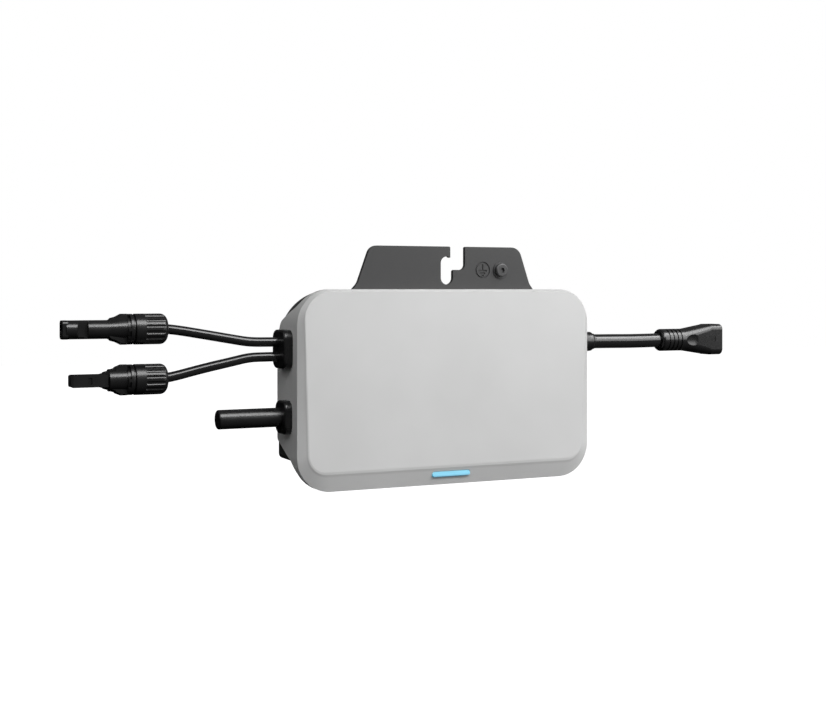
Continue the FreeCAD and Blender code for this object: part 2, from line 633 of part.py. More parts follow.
# ---- alternating-current lead and connector ----
AC_LEAD_END = 78.0
AC_BODY_START, AC_GRIP_END, AC_FLARE_END, AC_MOUTH = 74.7, 95.5, 118.0, 128.0
AC_MOUTH_HALF_Y, AC_MOUTH_HALF_Z = 8.75, 11.5
AC_INSERT = (110.0, 118.0)
AC_PIN_L = 13.0


def ac_strain_relief():
    inner = AC_LEAD_R + 0.05
    tip = 17.6
    bell = [(AC_GLAND_OUT, inner, 0), (AC_GLAND_OUT, 9.0, 0), (6.4, 9.0, 0.6), (8.0, 7.4, 1.0),
            (12.0, 6.9, 0.8), (14.8, 6.9, 1.2), (15.8, 5.8, 0.4), (tip, 5.6, 0.3), (tip, inner, 0)]
    return turned(bell, AC_Z, 1)


def ac_section(t, half_y, half_z, radius):
    x = HALF_W + t
    corners = rectangle(LEAD_Y - half_y, LEAD_Y + half_y, AC_Z - half_z, AC_Z + half_z, radius)
    return rounded_wire(corners, lambda y, z: Vector(x, y, z))


def ac_block(t0, t1, half_y, half_z, radius):
    return Part.Face(ac_section(t0, half_y, half_z, radius)).extrude(Vector(t1 - t0, 0, 0))


def groove(t, width, radius, depth, z, side):
    """Ring-shaped cutter for a turned part."""
    return turned([(t, radius - depth, 0), (t, radius + 1, 0), (t + width, radius + 1, 0),
                   (t + width, radius - depth, 0)], z, side)


def ac_connector_body():
    grip_r = 8.2
    grip = turned([(AC_BODY_START, 0, 0), (AC_BODY_START, grip_r, 2.2), (AC_GRIP_END, grip_r, 0),
                   (AC_GRIP_END, 0, 0)], AC_Z, 1)
    for i in range(4):
        grip = grip.cut(groove(79.6 + 3.6 * i, 1.3, grip_r, 0.6, AC_Z, 1))
    sections = [(AC_GRIP_END - 2, 8.1, 8.1, 7.9), (AC_GRIP_END + 1, 8.1, 8.3, 7.4),
                (AC_FLARE_END - 2, 8.7, 11.1, 4.8), (AC_FLARE_END, AC_MOUTH_HALF_Y, AC_MOUTH_HALF_Z, 4.2)]
    flare = Part.makeLoft([ac_section(*s) for s in sections], True, True)
    mouth = ac_block(AC_FLARE_END, AC_MOUTH, AC_MOUTH_HALF_Y, AC_MOUTH_HALF_Z, 4.2)
    mouth = fillet(mouth, 1.0, lambda p: near(p.x, HALF_W + AC_MOUTH))
    body = join([grip, flare, mouth])
    scoop_t, scoop_r, scoop_depth = 100.0, 18.0, 0.75
    pip_t, pip_z, pip_depth = 118.6, AC_Z + 0.6, 0.4
    for s in (-1, 1):
        centre_y = LEAD_Y + s * (grip_r + scoop_r - scoop_depth)
        scoop = Part.makeSphere(scoop_r, Vector(HALF_W + scoop_t, centre_y, AC_Z))
        pip_y = LEAD_Y + s * (AC_MOUTH_HALF_Y + 1)
        pip = box(HALF_W + pip_t, HALF_W + pip_t + 2.6, pip_y - 1 - pip_depth, pip_y + 1 + pip_depth,
                  pip_z - 1.7, pip_z + 1.7)
        body = body.cut(scoop).cut(pip)
    hollows = [
        ac_block(AC_INSERT[0], AC_MOUTH + 1, 6.55, 9.3, 2.6),
        turned(cylinder_profile(AC_BODY_START - 1, AC_LEAD_END + 1, AC_LEAD_R + 0.15), AC_Z, 1),
        turned(cylinder_profile(AC_LEAD_END, AC_INSERT[0] + 1, 3.6), AC_Z, 1),
    ]
    for hollow in hollows:
        body = body.cut(hollow)
    return body


AC_PINS = [(0.0, 5.2), (-2.6, -3.6), (2.6, -3.6)]


def ac_connector_insert():
    insert = ac_block(AC_INSERT[0], AC_INSERT[1], 6.5, 9.25, 2.55)
    for dy, dz in AC_PINS:
        insert = insert.cut(rod(1.5, Vector(HALF_W, LEAD_Y + dy, AC_Z + dz), AXIS_X, 200))
    return insert


def ac_connector_contacts():
    pins = []
    for dy, dz in AC_PINS:
        pin = rod(1.45, Vector(HALF_W + AC_INSERT[0], LEAD_Y + dy, AC_Z + dz), AXIS_X, AC_PIN_L)
        pins.append(fillet(pin, 0.7, lambda p: p.x > HALF_W + AC_INSERT[0] + AC_PIN_L - 0.1))
    return Part.makeCompound(pins)


# ---- panel connectors ----
NUT_START, NUT_END = 79.8, 100.6
STUB_START = 90.1
CLAMP = (86.1, 91.6)
SEAL = (91.7, 98.8)
SEAL_R = 6.2
CONTACT_START = 100.0
SLEEVE_R, SLEEVE_BORE = 5.8, 4.2
COLLAR_START, SLEEVE_END = 141.3, 144.8
TEETH = (103.5, 105.4)       # span of the toothed groove
SOCKET_FLOOR, SOCKET_STEP = 120.0, 136.6
PLUG_TUBE_R, PLUG_TUBE_END = 2.6, 137.5
PRONG_START, PRONG_END = 116.6, 139.7
CORE_END = 116.4             # where the round core of the plug stops
WING_Y, NOSE_Y = 4.5, 5.4    # half thickness of the flat-sided wings and of the plug's nose
PRONG_IN, PRONG_OUT, PRONG_HALF_Z = 3.7, 5.1, 3.8


STUB_PROFILE = [(STUB_START, 0, 0), (STUB_START, THREAD_R, 0.4), (100.9, THREAD_R, 0), (100.9, 8.6, 0),
                (101.6, 8.6, 0), (101.6, 9.5, 0.3), (TEETH[1], 9.5, 0), (TEETH[1], 0, 0)]
SHELL_START = TEETH[1] - 0.4
GROOVE_ARCS = [(5, 70), (110, 175), (186, 210), (330, 354)]


def groove_segment(start, end, z):
    """Part of the groove in front of the nut; angles in degrees from the front, upwards."""
    corners = [(TEETH[0], 7.9), (TEETH[1], 7.9), (TEETH[1], 11.0), (TEETH[0], 11.0), (TEETH[0], 7.9)]
    face = Part.Face(Part.makePolygon([Vector(-(HALF_W + t), LEAD_Y - r, z) for t, r in corners]))
    centre = Vector(0, LEAD_Y, z)
    face.rotate(centre, AXIS_X * -1, start)
    return face.revolve(centre, AXIS_X * -1, end - start)


def connector_shell(core, outline, slab, z):
    """Threaded stub and toothed collar, then a round core with flat-sided wings above and below it."""
    shell_start = [(SHELL_START, 0, 0)]
    wings = turned(shell_start + outline, z, -1).common(slab)
    body = join([turned(STUB_PROFILE, z, -1), turned(shell_start + core, z, -1), wings])
    for start, end in GROOVE_ARCS:
        body = body.cut(groove_segment(start, end, z))
    return body


def wing_slab(start, end, half_y, z):
    return box(-(HALF_W + end), -(HALF_W + start), LEAD_Y - half_y, LEAD_Y + half_y, z - 12, z + 12)


def housing_bores(z):
    seal_pocket = cylinder_profile(STUB_START - 1, SEAL[1], SEAL_R)
    crimp_barrel = cylinder_profile(STUB_START - 1, 112.0, PV_LEAD_R + 0.1)
    return [turned(seal_pocket, z, -1), turned(crimp_barrel, z, -1)]


def sleeve_cutters():
    """On each side of the sleeve: a flat with a sloping end, and a deeper slot beside it."""
    slot, flat, slope, full = 129.2, 131.4, 135.0, 136.2
    flat_y, slot_y, clear = 3.7, 3.25, 7.0
    cutters = []
    for side in (-1, 1):
        corners = [(flat, flat_y, 0), (slope, flat_y, 0), (full, SLEEVE_R, 0), (full, clear, 0),
                   (slot, clear, 0), (slot, slot_y, 0), (flat, slot_y, 0)]
        wire = rounded_wire(corners, lambda t, y, side=side: Vector(-(HALF_W + t), LEAD_Y + side * y,
                                                                    PV_SOCKET_Z - clear))
        cutters.append(Part.Face(wire).extrude(Vector(0, 0, 2 * clear)))
    return cutters


def pv_socket_housing():
    core = [(SHELL_START, 7.2, 0), (117.5, SLEEVE_R, 3.0), (COLLAR_START + 1, SLEEVE_R, 0),
            (COLLAR_START + 1, 0, 0)]
    outline = [(SHELL_START, PV_NUT_R, 0), (108.9, PV_NUT_R, 0.5), (112.4, 7.8, 0.3), (115.2, 7.1, 0.4),
               (117.0, 5.5, 0), (117.0, 0, 0)]
    body = connector_shell(core, outline, wing_slab(SHELL_START - 1, 120, WING_Y, PV_SOCKET_Z), PV_SOCKET_Z)
    for tool in housing_bores(PV_SOCKET_Z) + sleeve_cutters():
        body = body.cut(tool)
    collar_y = 4.9
    outline = rectangle(LEAD_Y - collar_y, LEAD_Y + collar_y, PV_SOCKET_Z - SLEEVE_R,
                        PV_SOCKET_Z + SLEEVE_R, 2.4)
    collar = side_plate(outline, -(HALF_W + SLEEVE_END), -(HALF_W + COLLAR_START))
    collar = fillet(collar, 0.5, lambda p: near(p.x, -(HALF_W + SLEEVE_END)))
    mouth = turned([(SOCKET_FLOOR, 0, 0), (SOCKET_FLOOR, 2.75, 0), (SOCKET_STEP, 2.75, 0),
                    (SOCKET_STEP, SLEEVE_BORE, 0.3), (SLEEVE_END + 1, SLEEVE_BORE, 0),
                    (SLEEVE_END + 1, 0, 0)], PV_SOCKET_Z, -1)
    pin_hole = rod(2.05, Vector(-(HALF_W + SOCKET_FLOOR + 1), LEAD_Y, PV_SOCKET_Z), AXIS_X, 12)
    return join([body, collar]).cut(mouth).cut(pin_hole)


def pv_plug_housing():
    core = [(SHELL_START, 7.2, 0), (CORE_END, 6.9, 0.3), (CORE_END, 0, 0)]
    outline = [(SHELL_START, PV_NUT_R, 0), (108.9, PV_NUT_R, 0.5), (112.4, 8.2, 0.5), (112.6, 7.6, 0),
               (116.0, 6.6, 0.4), (116.2, 6.1, 0), (119.6, 5.2, 0.4), (119.8, 4.7, 0), (122.6, 3.9, 0.5),
               (122.6, PLUG_TUBE_R, 0), (PLUG_TUBE_END, PLUG_TUBE_R, 0.5), (PLUG_TUBE_END, 0, 0)]
    slab = join([wing_slab(SHELL_START - 1, CORE_END, WING_Y, PV_PLUG_Z),
                 wing_slab(CORE_END, PLUG_TUBE_END + 1, NOSE_Y, PV_PLUG_Z)])
    body = connector_shell(core, outline, slab, PV_PLUG_Z)
    for tool in housing_bores(PV_PLUG_Z):
        body = body.cut(tool)
    body = body.cut(rod(1.9, Vector(-(HALF_W + PLUG_TUBE_END + 1), LEAD_Y, PV_PLUG_Z), AXIS_X, 40))
    for s in (-1, 1):
        slot_y = LEAD_Y + s * 5.2
        body = body.cut(box(-(HALF_W + 125.0), -(HALF_W + CORE_END), slot_y - 1.8, slot_y + 1.8,
                            PV_PLUG_Z - 4.1, PV_PLUG_Z + 4.1))
    return body


def pv_nut(z):
    """Union nut: fluted grip, rounded rear end, inside bore over the housing's stub."""
    thread = THREAD_R + RUNNING
    profile = [(NUT_START, 4.4, 0.6), (NUT_START, PV_NUT_R, 4.5), (NUT_END, PV_NUT_R, 0.5),
               (NUT_END, thread, 0.3), (86.0, thread, 0), (86.0, 6.4, 0), (83.0, 4.4, 0)]
    nut = turned(profile, z, -1)
    count, flute_r, reach, flute_l = 16, 1.6, 10.55, 17.0
    flute = rod(flute_r, Vector(-(HALF_W + 95.0), LEAD_Y + reach, z), AXIS_X, flute_l)
    flute = fillet(flute, flute_r - 0.1, lambda p: p.x < -(HALF_W + 94.9))
    for i in range(count):
        flute.rotate(Vector(0, LEAD_Y, z), AXIS_X, 360 / count if i else 180 / count)
        nut = nut.cut(flute)
    return nut


def pv_clamp_ring(z):
    """Collet of six fingers that the nut's cone squeezes on to the seal."""
    bore = PV_LEAD_R + 0.4
    ring = turned([(CLAMP[0], bore, 0), (CLAMP[0], 6.0, 1.2), (CLAMP[1], 6.0, 0), (CLAMP[1], bore, 0)], z, -1)
    slits = []
    for i in range(6):
        slit = box(-(HALF_W + CLAMP[0] + 3.4), -(HALF_W + CLAMP[0] - 1), LEAD_Y, LEAD_Y + 8, z - 0.4, z + 0.4)
        slit.rotate(Vector(0, LEAD_Y, z), AXIS_X, 60 * i)
        slits.append(slit)
    return ring.cut(Part.makeCompound(slits))


def pv_seal(z):
    start, end = SEAL
    sleeve = turned(cylinder_profile(start, end, SEAL_R), z, -1)
    return sleeve.cut(turned(cylinder_profile(start - 1, end + 1, PV_LEAD_R), z, -1))


def pv_socket_contact():
    profile = [(CONTACT_START, 0, 0), (CONTACT_START, 2.9, 0.3), (111.9, 2.9, 0.3), (111.9, 2.0, 0),
               (138.0, 2.0, 0.9), (138.0, 0, 0)]
    return turned(profile, PV_SOCKET_Z, -1)


def pv_plug_contact():
    profile = [(CONTACT_START, 0, 0), (CONTACT_START, 2.9, 0.3), (111.9, 2.9, 0.3), (111.9, 1.85, 0),
               (136.5, 1.85, 0.2), (136.5, 1.2, 0), (118.0, 1.2, 0), (118.0, 0, 0)]
    return turned(profile, PV_PLUG_Z, -1)


def pv_plug_latch(side):
    """Flat snap prong; side -1 is the front one. It bends at its root towards the tube."""
    root_r = (PRONG_OUT - PRONG_IN) / 2
    corners = [(PRONG_START, PRONG_IN, root_r), (PRONG_END, PRONG_IN, 0.3), (PRONG_END, PRONG_OUT - 0.4, 0.3),
               (PRONG_END - 1.5, PRONG_OUT, 0.5), (PRONG_START, PRONG_OUT, root_r)]
    z0 = PV_PLUG_Z - PRONG_HALF_Z
    wire = rounded_wire(corners, lambda t, y: Vector(-(HALF_W + t), LEAD_Y + side * y, z0))
    prong = Part.Face(wire).extrude(Vector(0, 0, 2 * PRONG_HALF_Z))
    outline = rectangle(-(HALF_W + PRONG_END), -(HALF_W + PRONG_START) + 5, z0, z0 + 2 * PRONG_HALF_Z, 1.4)
    catch_start, catch_end, catch_half_z, catch_depth = 126.9, 129.4, 2.1, 0.9
    catch_y = LEAD_Y + side * (PRONG_OUT + 1)
    catch = box(-(HALF_W + catch_end), -(HALF_W + catch_start), catch_y - 1 - catch_depth,
                catch_y + 1 + catch_depth, PV_PLUG_Z - catch_half_z, PV_PLUG_Z + catch_half_z)
    return prong.common(front_plate(outline, LEAD_Y - 9, LEAD_Y + 9)).cut(catch)


# ---- leads ----
PV_UPPER_ROUTE = [(5.9, -34.2), (15.6, -34.2), (26.0, -33.9), (37.0, -32.0), (57.0, -28.4), (77.5, -24.9),
                  (89.0, -24.7), (100.0, -24.7)]
PV_LOWER_ROUTE = [(5.9, -43.8), (15.6, -43.8), (26.0, -44.0), (37.0, -46.4), (57.0, -50.4), (79.0, -55.75),
                  (90.0, -56.0), (100.0, -56.0)]
AC_ROUTE = [(4.9, -37.8), (28.0, -37.8), (53.0, -38.2), (78.0, -37.8)]


def lead_tube(name, route, radius, side):
    """Tube along straight runs joined by tangent arcs; route is (distance from wall, z)."""
    points = [Vector(side * (HALF_W + t), LEAD_Y, z) for t, z in route]
    edges, start, radii = [], points[0], []
    for before, here, after in zip(points, points[1:], points[2:]):
        into, out = (here - before), (after - here)
        half_turn = into.getAngle(out) / 2
        reach = 0.45 * min(into.Length, out.Length)
        bend_r = reach / math.tan(half_turn)
        into.normalize()
        out.normalize()
        inward = (out - into).normalize()
        middle = here + inward * (bend_r / math.cos(half_turn) - bend_r)
        a, b = here - into * reach, here + out * reach
        edges += [Part.LineSegment(start, a).toShape(), Part.Arc(a, middle, b).toShape()]
        start = b
        radii.append(bend_r)
    edges.append(Part.LineSegment(start, points[-1]).toShape())
    path = Part.Wire(edges)
    first_dir = (points[1] - points[0]).normalize()
    section = Part.Wire([Part.makeCircle(radius, points[0], first_dir)])
    tube = path.makePipeShell([section], True, False)
    ratio = tube.Volume / (math.pi * radius ** 2 * path.Length)
    print(f"{name}: length {path.Length:.1f} mm, radii {[round(r) for r in radii]}, volume ratio {ratio:.4f}")
    return tube


PARTS = {
    "front_cover": front_cover,
    "rear_housing": rear_housing,
    "cover_gasket": cover_gasket,
    "cover_screws": cover_screws,
    "mounting_bracket": mounting_bracket,
    "bracket_screws": bracket_screws,
    "ground_screw": ground_screw,
    "ground_washer": ground_washer,
    "ground_nut": ground_nut,
    "led_lens": led_lens,
    "led_light_guide": led_light_guide,
    "led_board": led_board,
    "circuit_board": circuit_board,
    "board_screws": board_screws,
    "transformer_core": lambda: ferrite_block(*TRANSFORMER),
    "transformer_winding": lambda: bobbin_winding(*TRANSFORMER),
    "inductor_core": lambda: ring_core(*INDUCTOR),
    "inductor_winding": lambda: ring_winding(*INDUCTOR),
    "choke_core": lambda: ring_core(*CHOKE),
    "choke_winding": lambda: ring_winding(*CHOKE),
    "dc_capacitors": dc_capacitors,
    "filter_capacitors": filter_capacitors,
    "power_transistors": power_transistors,
    "thermal_pad": thermal_pad,
    "grid_relay": grid_relay,
    "fuse": fuse,
    "controller_chips": controller_chips,
    "radio_module": radio_module,
    "dc_terminals": dc_terminals,
    "ac_terminals": ac_terminals,
    "dc_inner_leads": dc_inner_leads,
    "ac_inner_leads": ac_inner_leads,
    "pv_gland": pv_gland,
    "pv_gland_seal": lambda: wall_seal(PV_GLAND_Z, PV_NECK_HALF, -1),
    "antenna_gland": antenna_gland,
    "antenna_gland_seal": lambda: wall_seal(ANTENNA_Z, ANTENNA_NECK_HALF, -1),
    "antenna_tube": antenna_tube,
    "antenna_element": antenna_element,
    "antenna_lead": antenna_lead,
    "ac_gland": ac_gland,
    "ac_gland_seal": lambda: wall_seal(AC_Z, PV_NECK_HALF, 1),
    "ac_strain_relief": ac_strain_relief,
    "ac_cable": lambda: lead_tube("ac_cable", AC_ROUTE, AC_LEAD_R, 1),
    "ac_connector_body": ac_connector_body,
    "ac_connector_insert": ac_connector_insert,
    "ac_connector_contacts": ac_connector_contacts,
    "pv_upper_cable": lambda: lead_tube("pv_upper_cable", PV_UPPER_ROUTE, PV_LEAD_R, -1),
    "pv_lower_cable": lambda: lead_tube("pv_lower_cable", PV_LOWER_ROUTE, PV_LEAD_R, -1),
    "pv_socket_housing": pv_socket_housing,
    "pv_socket_nut": lambda: pv_nut(PV_SOCKET_Z),
    "pv_socket_clamp_ring": lambda: pv_clamp_ring(PV_SOCKET_Z),
    "pv_socket_seal": lambda: pv_seal(PV_SOCKET_Z),
    "pv_socket_contact": pv_socket_contact,
    "pv_plug_housing": pv_plug_housing,
    "pv_plug_nut": lambda: pv_nut(PV_PLUG_Z),
    "pv_plug_clamp_ring": lambda: pv_clamp_ring(PV_PLUG_Z),
    "pv_plug_seal": lambda: pv_seal(PV_PLUG_Z),
    "pv_plug_contact": pv_plug_contact,
    "pv_plug_latch_front": lambda: pv_plug_latch(-1),
    "pv_plug_latch_rear": lambda: pv_plug_latch(1),
}

os.makedirs("parts", exist_ok=True)
for part_name, make in PARTS.items():
    export(part_name, make())
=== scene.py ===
import json
import math

import bmesh
import bpy
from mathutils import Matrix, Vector


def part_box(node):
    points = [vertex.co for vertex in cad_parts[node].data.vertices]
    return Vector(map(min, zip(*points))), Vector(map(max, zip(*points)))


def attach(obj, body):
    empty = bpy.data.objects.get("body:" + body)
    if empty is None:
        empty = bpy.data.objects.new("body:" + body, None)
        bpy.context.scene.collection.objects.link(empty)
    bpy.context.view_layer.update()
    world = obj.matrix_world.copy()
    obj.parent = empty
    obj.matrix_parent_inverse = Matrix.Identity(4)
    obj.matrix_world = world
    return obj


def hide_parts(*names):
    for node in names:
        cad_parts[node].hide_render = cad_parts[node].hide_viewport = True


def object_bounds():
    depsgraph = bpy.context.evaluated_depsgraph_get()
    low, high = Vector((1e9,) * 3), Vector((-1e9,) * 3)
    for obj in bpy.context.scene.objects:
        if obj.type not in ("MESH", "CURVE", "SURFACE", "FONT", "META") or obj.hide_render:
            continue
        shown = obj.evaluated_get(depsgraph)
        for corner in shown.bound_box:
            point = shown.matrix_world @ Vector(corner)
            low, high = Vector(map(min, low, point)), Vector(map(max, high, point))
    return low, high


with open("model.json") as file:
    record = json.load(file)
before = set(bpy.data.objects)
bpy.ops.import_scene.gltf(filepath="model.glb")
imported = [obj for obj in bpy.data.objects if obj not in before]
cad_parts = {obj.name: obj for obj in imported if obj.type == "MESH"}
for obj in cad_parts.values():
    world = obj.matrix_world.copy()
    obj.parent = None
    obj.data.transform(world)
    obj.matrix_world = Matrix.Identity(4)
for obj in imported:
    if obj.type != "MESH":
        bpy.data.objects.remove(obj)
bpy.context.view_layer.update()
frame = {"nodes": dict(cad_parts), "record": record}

MM = 0.001
NODES = frame["nodes"]
SCENE = bpy.context.scene

# Case coordinates, in millimetres: X from the case's centre, Y behind the cover's rim, Z from its top edge.
ORIGIN = Vector((1.0, 9.0, 7.8))
HALF_W = 109.0
LEAD_Y = 19.8


def case_point(x, y, z):
    """Case coordinates in millimetres to the row frame in metres."""
    return (Vector((x, y, z)) - ORIGIN) * MM


# ---- camera ----
CAMERA_PLACE = (-406.5, -806.0, 0.0)     # case coordinates: to the left of the case, level with its top edge
CAMERA_YAW = 25.2                        # degrees, turned to the right
CAMERA_LENS = 58.4
CAMERA_SHIFT = -0.0832


def make_camera():
    """A level camera at the front left; the shift lowers the frame onto the case."""
    camera = bpy.data.cameras.new("camera")
    camera.sensor_width = 36.0
    camera.lens = CAMERA_LENS
    camera.shift_y = CAMERA_SHIFT
    camera.clip_start = 0.01
    camera.dof.use_dof = False
    holder = bpy.data.objects.new("camera", camera)
    holder.location = case_point(*CAMERA_PLACE)
    holder.rotation_euler = (math.radians(90), 0, -math.radians(CAMERA_YAW))
    SCENE.collection.objects.link(holder)
    SCENE.camera = holder


# ---- leads ----
# Route points are (distance out from the case's side, height), in millimetres.
PV_UPPER_ROUTE = [(5.9, -34.2), (15.6, -34.2), (26.0, -33.9), (37.0, -32.0), (57.0, -28.4), (77.5, -24.9),
                  (89.0, -24.7), (100.0, -24.7)]
PV_LOWER_ROUTE = [(5.9, -43.8), (15.6, -43.8), (26.0, -44.0), (37.0, -46.4), (57.0, -50.4), (79.0, -55.75),
                  (90.0, -56.0), (100.0, -56.0)]
AC_ROUTE = [(4.9, -37.8), (28.0, -37.8), (53.0, -38.2), (78.0, -37.8)]
PV_LEAD_R = 3.1
AC_LEAD_R = 5.1
LEFT, RIGHT = -1, 1


def lead(name, route, side, radius):
    """One lead as a smooth spline along its route, on the left or the right of the case."""
    curve = bpy.data.curves.new(name, "CURVE")
    curve.dimensions = "3D"
    spline = curve.splines.new("NURBS")
    spline.points.add(len(route) - 1)
    for point, (t, z) in zip(spline.points, route):
        point.co = (*case_point(side * (HALF_W + t), LEAD_Y, z), 1.0)
        point.radius = radius * MM
    spline.order_u = 3
    spline.use_endpoint_u = True
    spline.resolution_u = 24
    curve.bevel_depth = 1.0       # times each point's radius
    curve.bevel_resolution = 10
    curve.use_fill_caps = True
    piece = bpy.data.objects.new(name + "_jacket", curve)
    SCENE.collection.objects.link(piece)
    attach(piece, "root")
    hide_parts(name)
    return piece


# ---- materials ----
class Surface:
    """A principled material with small helpers for its node tree."""

    def __init__(self, name, color, roughness, metallic=0.0, **sockets):
        self.material = bpy.data.materials.new(name)
        self.material.use_nodes = True
        self.tree = self.material.node_tree
        self.shader = self.tree.nodes["Principled BSDF"]
        self.shader.inputs["Base Color"].default_value = (*color, 1)
        self.shader.inputs["Roughness"].default_value = roughness
        self.shader.inputs["Metallic"].default_value = metallic
        for socket, value in sockets.items():
            self.shader.inputs[socket.replace("_", " ")].default_value = value
        self.coordinates = self.add("ShaderNodeTexCoord").outputs["Object"]

    def add(self, kind, **inputs):
        node = self.tree.nodes.new(kind)
        for socket, value in inputs.items():
            node.inputs[socket].default_value = value
        return node

    def link(self, output, target):
        self.tree.links.new(output, target)

    def noise(self, scale, detail=4.0, stretch=(1, 1, 1)):
        """Noise over the object's own coordinates; scale is about cells per metre."""
        mapping = self.add("ShaderNodeMapping", Scale=stretch)
        self.link(self.coordinates, mapping.inputs["Vector"])
        texture = self.add("ShaderNodeTexNoise", Scale=scale, Detail=detail)
        self.link(mapping.outputs["Vector"], texture.inputs["Vector"])
        return texture.outputs["Fac"]

    def ramp(self, source, stops):
        """A ramp with (place, grey) or (place, colour) stops."""
        node = self.add("ShaderNodeValToRGB")
        elements = node.color_ramp.elements
        while len(elements) < len(stops):
            elements.new(0.5)
        for element, (place, value) in zip(elements, stops):
            element.position = place
            element.color = (*value, 1) if isinstance(value, tuple) else (value, value, value, 1)
        self.link(source, node.inputs["Fac"])
        return node.outputs["Color"]

    def vary_color(self, source, dark, light, low=0.3, high=0.7):
        self.link(self.ramp(source, [(low, dark), (high, light)]), self.shader.inputs["Base Color"])

    def vary_roughness(self, source, low, high):
        self.link(self.ramp(source, [(0.3, low), (0.7, high)]), self.shader.inputs["Roughness"])

    def bump(self, source, distance, strength=1.0):
        """Add a bump over any that is there already."""
        node = self.add("ShaderNodeBump", Strength=strength, Distance=distance)
        self.link(source, node.inputs["Height"])
        previous = self.shader.inputs["Normal"].links
        if previous:
            self.link(previous[0].from_socket, node.inputs["Normal"])
        self.link(node.outputs["Normal"], self.shader.inputs["Normal"])


def object_height(surface, axis):
    """One object coordinate, as a number a ramp can read."""
    split = surface.add("ShaderNodeSeparateXYZ")
    surface.link(surface.coordinates, split.inputs["Vector"])
    return split.outputs[axis]


def scaled(surface, source, low, high):
    """Map a number from low..high to 0..1."""
    node = surface.add("ShaderNodeMapRange")
    node.inputs["From Min"].default_value = low
    node.inputs["From Max"].default_value = high
    surface.link(source, node.inputs["Value"])
    return node.outputs["Result"]


def powder_coat(name, dark, light, roughness, grain):
    """Satin sprayed coat: faint mottling, fine orange peel and slightly uneven gloss."""
    surface = Surface(name, light, roughness, Coat_Weight=0.15, Coat_Roughness=0.35)
    surface.vary_color(surface.noise(14.0, 3.0), dark, light)
    surface.vary_roughness(surface.noise(60.0, 5.0), roughness - 0.04, roughness + 0.05)
    surface.bump(surface.noise(900.0, 2.0), 0.00004, grain)
    surface.bump(surface.noise(3200.0, 1.0), 0.00001, grain)
    return surface.material


def cast_coat(name, dark, light, roughness):
    """Thin black coat over a die casting, with the casting's grain showing through."""
    surface = Surface(name, light, roughness)
    surface.vary_color(surface.noise(45.0, 6.0), dark, light)
    surface.vary_roughness(surface.noise(220.0, 4.0), roughness - 0.08, roughness + 0.08)
    surface.bump(surface.noise(700.0, 6.0), 0.00008, 0.6)
    return surface.material


def moulded_plastic(name, dark, light, roughness, grain=0.35):
    """Injection-moulded plastic: faint flow clouds, fine spark-eroded texture."""
    surface = Surface(name, light, roughness)
    surface.vary_color(surface.noise(60.0, 3.0), dark, light)
    surface.vary_roughness(surface.noise(120.0, 2.0), roughness - 0.02, roughness + 0.02)
    surface.bump(surface.noise(1500.0, 1.0), 0.00001, grain)
    return surface.material


def extruded_jacket(name, dark, light, roughness):
    """Cable jacket: fine lines along the extrusion, dust-soft gloss."""
    surface = Surface(name, light, roughness, Sheen_Weight=0.02)
    surface.vary_color(surface.noise(90.0, 3.0, (0.15, 1, 1)), dark, light)
    surface.vary_roughness(surface.noise(400.0, 3.0, (0.05, 1, 1)), roughness - 0.05, roughness + 0.06)
    surface.bump(surface.noise(1500.0, 2.0, (0.03, 1, 1)), 0.00002, 0.04)
    return surface.material


def soft_rubber(name, dark, light):
    """Matt rubber or filled silicone."""
    surface = Surface(name, light, 0.7)
    surface.vary_color(surface.noise(80.0, 4.0), dark, light)
    surface.vary_roughness(surface.noise(260.0, 4.0), 0.62, 0.8)
    surface.bump(surface.noise(1400.0, 3.0), 0.00003, 0.5)
    return surface.material


def turned_metal(name, dark, light, roughness, stretch=(1, 1, 1)):
    """Plated or drawn metal with fine tool marks."""
    surface = Surface(name, light, roughness, metallic=1.0)
    surface.vary_color(surface.noise(120.0, 4.0), dark, light)
    surface.vary_roughness(surface.noise(900.0, 3.0, stretch), roughness - 0.07, roughness + 0.1)
    surface.bump(surface.noise(1800.0, 3.0, stretch), 0.00001, 0.5)
    return surface.material


LENS_GLOW = [(0.2, (0.03, 0.23, 0.34)), (0.45, (0.09, 0.54, 0.74)), (1.0, (0.14, 0.54, 0.68))]
LENS_STRENGTH = 0.62


def lit_lens(name):
    """Milky cyan lens lit from behind, darkest along its lower edge."""
    surface = Surface(name, (0.05, 0.2, 0.3), 0.3, Coat_Weight=0.2, Coat_Roughness=0.15)
    low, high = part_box("led_lens")
    up = scaled(surface, object_height(surface, "Z"), low.z, high.z)
    surface.link(surface.ramp(up, LENS_GLOW), surface.shader.inputs["Emission Color"])
    surface.shader.inputs["Emission Strength"].default_value = LENS_STRENGTH
    surface.vary_roughness(surface.noise(300.0), 0.26, 0.36)
    surface.bump(surface.noise(1200.0), 0.00001, 0.3)
    return surface.material


def clear_acrylic(name):
    """Clear moulded light guide, slightly hazy."""
    surface = Surface(name, (0.8, 0.88, 0.92), 0.12, Transmission_Weight=0.7, IOR=1.49)
    surface.vary_roughness(surface.noise(200.0), 0.08, 0.2)
    surface.bump(surface.noise(800.0), 0.00001, 0.3)
    return surface.material


def solder_mask(name):
    """Green board with faint buried tracks."""
    surface = Surface(name, (0.02, 0.16, 0.06), 0.35, Coat_Weight=0.3)
    tracks = surface.add("ShaderNodeTexBrick", Scale=140.0)
    tracks.inputs["Color1"].default_value = (0.02, 0.17, 0.07, 1)
    tracks.inputs["Color2"].default_value = (0.015, 0.13, 0.05, 1)
    tracks.inputs["Mortar"].default_value = (0.05, 0.26, 0.12, 1)
    surface.link(surface.coordinates, tracks.inputs["Vector"])
    surface.link(tracks.outputs["Color"], surface.shader.inputs["Base Color"])
    surface.vary_roughness(surface.noise(300.0), 0.3, 0.42)
    surface.bump(tracks.outputs["Fac"], 0.00002, 0.5)
    return surface.material


